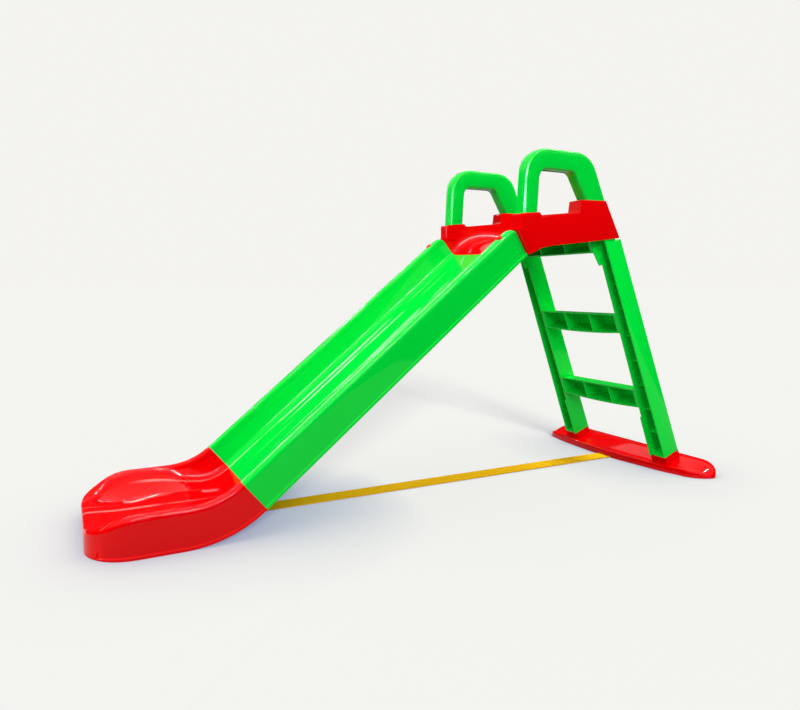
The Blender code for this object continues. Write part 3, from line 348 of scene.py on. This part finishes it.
def makeSmoothing():
    tree = bpy.data.node_groups.new("smoothWithCorners", "GeometryNodeTree")
    for side in ("INPUT", "OUTPUT"):
        tree.interface.new_socket("Geometry", in_out=side, socket_type="NodeSocketGeometry")
    start = addNode(tree, "NodeGroupInput", (-800, 0))
    drop = addNode(tree, "GeometryNodeRemoveAttribute", (-600, 0), Name="custom_normal")
    weld = addNode(tree, "GeometryNodeMergeByDistance", (-400, 0), Distance=shading["weld"])
    faces = addNode(tree, "GeometryNodeSetShadeSmooth", (-200, 0), domain="FACE")
    edges = addNode(tree, "GeometryNodeSetShadeSmooth", (0, 0), domain="EDGE")
    angle = addNode(tree, "GeometryNodeInputMeshEdgeAngle", (-400, -250))
    below = addNode(tree, "FunctionNodeCompare", (-200, -250), data_type="FLOAT", operation="LESS_THAN")
    below.inputs[1].default_value = shading["corner"]
    end = addNode(tree, "NodeGroupOutput", (200, 0))
    wire(
        tree,
        (start.outputs[0], drop.inputs["Geometry"]),
        (drop.outputs["Geometry"], weld.inputs["Geometry"]),
        (weld.outputs["Geometry"], faces.inputs["Geometry"]),
        (faces.outputs["Geometry"], edges.inputs["Geometry"]),
        (angle.outputs["Unsigned Angle"], below.inputs[0]),
        (below.outputs["Result"], edges.inputs["Shade Smooth"]),
        (edges.outputs["Geometry"], end.inputs[0]),
    )
    return tree


smoothing = makeSmoothing()


def dress(piece, material):
    piece.data.materials.clear()
    piece.data.materials.append(material)
    piece.modifiers.new("smoothWithCorners", "NODES").node_group = smoothing


finishes = {
    "chute_upper": greenWithPaintedHighlight,
    "chute_lower": redWithPaintedHighlight,
    "handle_left": green,
    "handle_right": green,
    "ladder": green,
}
for name in nodes:
    if "screw" in name:
        dress(nodes[name], zinc)
    elif name != "floor_tie":
        dress(nodes[name], finishes.get(name, red))
print("parts dressed")


# the strap's webbing: lengthwise cords pressed into both flat faces, inside the strap from model.glb
tieLook = {
    "cords": 7,
    "cutsPerCord": 4,
    "cordDepth": 0.0004,
    "flat": 0.5,  # how far up or down a point faces before it is pressed
}


def makeWovenTie(look):
    low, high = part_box("floor_tie")
    shape = bmesh.new()
    shape.from_mesh(nodes["floor_tie"].data)
    width = high[1] - low[1]
    cuts = look["cords"] * look["cutsPerCord"]
    for i in range(1, cuts):
        spot = (0, low[1] + width * i / cuts, 0)
        everything = shape.verts[:] + shape.edges[:] + shape.faces[:]
        bmesh.ops.bisect_plane(shape, geom=everything, plane_co=spot, plane_no=(0, 1, 0))
    shape.normal_update()
    for vert in shape.verts:
        if abs(vert.normal.z) > look["flat"]:
            wave = (1 - math.cos(2 * math.pi * look["cords"] * (vert.co.y - low[1]) / width)) / 2
            vert.co.z -= math.copysign(look["cordDepth"] * wave, vert.normal.z)
    mesh = bpy.data.meshes.new("wovenTie")
    shape.to_mesh(mesh)
    shape.free()
    tie = bpy.data.objects.new("wovenTie", mesh)
    scene.collection.objects.link(tie)
    dress(tie, webbing)
    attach(tie, "root")
    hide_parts("floor_tie")


makeWovenTie(tieLook)
print("strap woven")


studio = {
    "floorSize": 400.0,
    "floorDrop": 0.0004,  # keeps the floor just clear of the slide's lower rims
    "paper": (0.245, 0.232, 0.200),
    "shade": (0.075, 0.130, 0.300),  # what the floor keeps in its deepest shadow
    "openGlow": (0.4625, 0.420, 0.268),  # what it adds where nothing stands over it
    "shadeReach": 0.28,
    "shadeFall": 1.7,
    "shadeSamples": 12,
    "backdrop": (0.905, 0.898, 0.868),
    "roomTint": (0.96, 0.98, 1.0),
    "room": 0.60,
}


# pale paper that glows a little for the camera, so its shadows stay soft and cool
def makeFloor():
    half = studio["floorSize"] / 2
    corners = [(-half, -half, 0), (half, -half, 0), (half, half, 0), (-half, half, 0)]
    mesh = bpy.data.meshes.new("studioFloor")
    mesh.from_pydata(corners, [], [(0, 1, 2, 3)])
    floor = bpy.data.objects.new("studioFloor", mesh)
    floor.location.z = -studio["floorDrop"]
    scene.collection.objects.link(floor)
    material = bpy.data.materials.new("palePaper")
    material.use_nodes = True
    tree = material.node_tree
    tree.nodes.clear()
    paper = addNode(tree, "ShaderNodeBsdfDiffuse", (-100, 200), Color=(*studio["paper"], 1))
    # the glow follows ambient occlusion, so the floor's contact shadows are painted shadow
    over = addNode(tree, "ShaderNodeAmbientOcclusion", (-600, -200), samples=studio["shadeSamples"])
    over.inputs["Distance"].default_value = studio["shadeReach"]
    fall = addMath(tree, (-450, -300), "POWER", second=studio["shadeFall"])
    openTone = [a + b for a, b in zip(studio["shade"], studio["openGlow"])]
    tone = addColorMix(tree, (-300, -150), studio["shade"], openTone)
    glow = addNode(tree, "ShaderNodeEmission", (-100, 0))
    both = addNode(tree, "ShaderNodeAddShader", (100, 100))
    out = addNode(tree, "ShaderNodeOutputMaterial", (300, 100))
    wire(
        tree,
        (addSeen(tree), glow.inputs["Strength"]),
        (over.outputs["AO"], fall.inputs[0]),
        (fall.outputs[0], tone.inputs[0]),
        (tone.outputs[2], glow.inputs["Color"]),
        (paper.outputs[0], both.inputs[0]),
        (glow.outputs[0], both.inputs[1]),
        (both.outputs[0], out.inputs["Surface"]),
    )
    mesh.materials.append(material)
    return floor


# a dark ring of card around the set, which only the gloss sees
flags = {"radius": 3.4, "height": 1.9, "tone": 0.05, "sides": 48}


def makeFlags():
    mesh = bpy.data.meshes.new("studioFlags")
    shape = bmesh.new()
    count = flags["sides"]
    spots = [2 * math.pi * i / count for i in range(count)]
    rings = []
    for height in (0.0, flags["height"]):
        ring = [(flags["radius"] * math.cos(a), flags["radius"] * math.sin(a), height) for a in spots]
        rings.append([shape.verts.new(spot) for spot in ring])
    for i in range(count):
        j = (i + 1) % count
        shape.faces.new((rings[0][i], rings[0][j], rings[1][j], rings[1][i]))
    shape.to_mesh(mesh)
    shape.free()
    card = bpy.data.objects.new("studioFlags", mesh)
    scene.collection.objects.link(card)
    material, shader = newMaterial("darkCard")
    shader.inputs["Base Color"].default_value = (*[flags["tone"]] * 3, 1)
    shader.inputs["Roughness"].default_value = 1.0
    shader.inputs["Specular IOR Level"].default_value = 0.0
    mesh.materials.append(material)
    card.visible_camera = False
    card.visible_diffuse = False
    card.visible_shadow = False
    card.visible_transmission = False


def makeWorld():
    world = bpy.data.worlds.new("softRoom")
    scene.world = world
    world.use_nodes = True
    tree = world.node_tree
    tree.nodes.clear()
    room = addNode(tree, "ShaderNodeBackground", (-300, 0), Color=(*studio["roomTint"], 1))
    room.inputs["Strength"].default_value = studio["room"]
    pale = addNode(tree, "ShaderNodeBackground", (-300, -200), Color=(*studio["backdrop"], 1))
    blend = addNode(tree, "ShaderNodeMixShader", (0, 0))
    out = addNode(tree, "ShaderNodeOutputWorld", (250, 0))
    wire(
        tree,
        (addSeen(tree), blend.inputs[0]),
        (room.outputs[0], blend.inputs[1]),
        (pale.outputs[0], blend.inputs[2]),
        (blend.outputs[0], out.inputs["Surface"]),
    )


# suns: the low one rakes in from the front left, the floor's own draws the long soft shadow
suns = {
    "lowSun": {"at": (-0.42, -0.84, 0.34), "aim": (0, 0, 0), "power": 0.8, "spread": math.radians(16)},
    "floorSun": {"at": (-0.22, -0.90, 0.36), "aim": (0, 0, 0), "power": 8.0, "spread": math.radians(16)},
}
# softboxes stand off the floor, which stays evenly lit
softboxes = {
    "bedSoftbox": {"at": (-1.7, -0.1, 2.5), "size": (1.5, 1.5), "power": 54.0},
    "headSoftbox": {"at": (0.4, -1.5, 1.6), "size": (1.0, 0.8), "power": 11.0},
    "footSoftbox": {"at": (1.5, 0.3, 1.7), "size": (0.8, 0.8), "power": 42.0},
    "lipSoftbox": {"at": (-2.2, 0.3, 0.7), "size": (0.8, 0.8), "power": 2.5},
    "ladderSoftbox": {
        "at": (0.0, -1.0, 1.1),
        "size": (0.5, 0.5),
        "power": 3.6,
        "aim": (0.5, 0, 0.5),
        "only": ("ladder",),
    },
    "ladderLowSoftbox": {
        "at": (-0.4, -0.7, 0.3),
        "size": (0.5, 0.5),
        "power": 1.6,
        "aim": (0.5, 0, 0.3),
        "only": ("ladder",),
    },
}
# thin strips which only draw lines of light on the gloss, most of them laid along the chute's slope
slope = math.radians(39.2)
downTheChute = (math.cos(slope), 0, math.sin(slope))
edgeStrips = {
    "crestStrip": {"at": (0.2, -1.2, 2.3), "size": (4.0, 0.07), "power": 170.0, "along": downTheChute},
    "railStrip": {
        "at": (-0.2, 2.2, 1.88),
        "size": (3.0, 0.05),
        "power": 30.0,
        "along": downTheChute,
        "only": ("chute_upper",),
    },
    "bedStrip": {"at": (-0.58, 2.2, 1.15), "size": (1.1, 0.006), "power": 1.4, "along": downTheChute},
    "handleStrip": {
        "at": (-1.6, -0.9, 1.0),
        "size": (1.2, 0.05),
        "power": 420.0,
        "along": (0, 0, 1),
        "only": ("handle_left", "handle_right"),
    },
    "footStrip": {
        "at": (0.56, 1.74, 1.85),
        "size": (1.2, 0.04),
        "power": 420.0,
        "along": (0, 1, 0),
        "only": ("foot_bar",),
    },
}
# where a lamp points, and which way its long side lies, unless its own values say
usualLamp = {"aim": (0, 0, 0.3), "along": (1, 0, 0)}


def placeLamp(name, data, look, pieces, state):
    lamp = bpy.data.objects.new(name, data)
    spot = Vector(look["at"])
    along = Vector(look.get("along", usualLamp["along"]))
    back = (spot - Vector(look.get("aim", usualLamp["aim"]))).normalized()
    side = (along - back * back.dot(along)).normalized()
    turned = Matrix((side, back.cross(side), back)).transposed()
    lamp.location = spot
    lamp.rotation_euler = turned.to_euler()
    scene.collection.objects.link(lamp)
    # the lamp lights only these pieces, or everything but them
    reach = bpy.data.collections.new(name + "Reach")
    for i, piece in enumerate(pieces):
        reach.objects.link(piece)
        reach.collection_objects[i].light_linking.link_state = state
    lamp.light_linking.receiver_collection = reach
    return lamp


def makeLamps(floor):
    for name, look in suns.items():
        data = bpy.data.lights.new(name, "SUN")
        data.energy = look["power"]
        data.angle = look["spread"]
        state = "INCLUDE" if name == "floorSun" else "EXCLUDE"
        lamp = placeLamp(name, data, look, [floor], state)
        lamp.visible_glossy = False
    for looks in (softboxes, edgeStrips):
        for name, look in looks.items():
            data = bpy.data.lights.new(name, "AREA")
            data.shape = "RECTANGLE"
            data.size, data.size_y = look["size"]
            data.energy = look["power"]
            if "only" in look:
                lamp = placeLamp(name, data, look, [nodes[part] for part in look["only"]], "INCLUDE")
            else:
                lamp = placeLamp(name, data, look, [floor], "EXCLUDE")
            lamp.visible_camera = False
            if looks is edgeStrips:
                lamp.visible_diffuse = False
            else:
                lamp.visible_glossy = False


# lens and sensor in millimetres; yaw turns from +Y towards +X
camera = {
    "at": (-0.7358, -1.3612, 0.4738),
    "lens": 29.40,
    "sensor": 36.0,
    "yaw": 0.4709,
    "pitch": -0.1016,
}


def makeCamera():
    data = bpy.data.cameras.new("photoCamera")
    data.sensor_width = camera["sensor"]
    data.lens = camera["lens"]
    item = bpy.data.objects.new("photoCamera", data)
    item.location = camera["at"]
    level = math.cos(camera["pitch"])
    ahead = (math.sin(camera["yaw"]) * level, math.cos(camera["yaw"]) * level)
    look = Vector((*ahead, math.sin(camera["pitch"])))
    item.rotation_euler = look.to_track_quat("-Z", "Y").to_euler()
    scene.collection.objects.link(item)
    scene.camera = item


floor = makeFloor()
makeFlags()
makeWorld()
makeLamps(floor)
makeCamera()
scene.view_settings.view_transform = "Standard"
print("studio set")
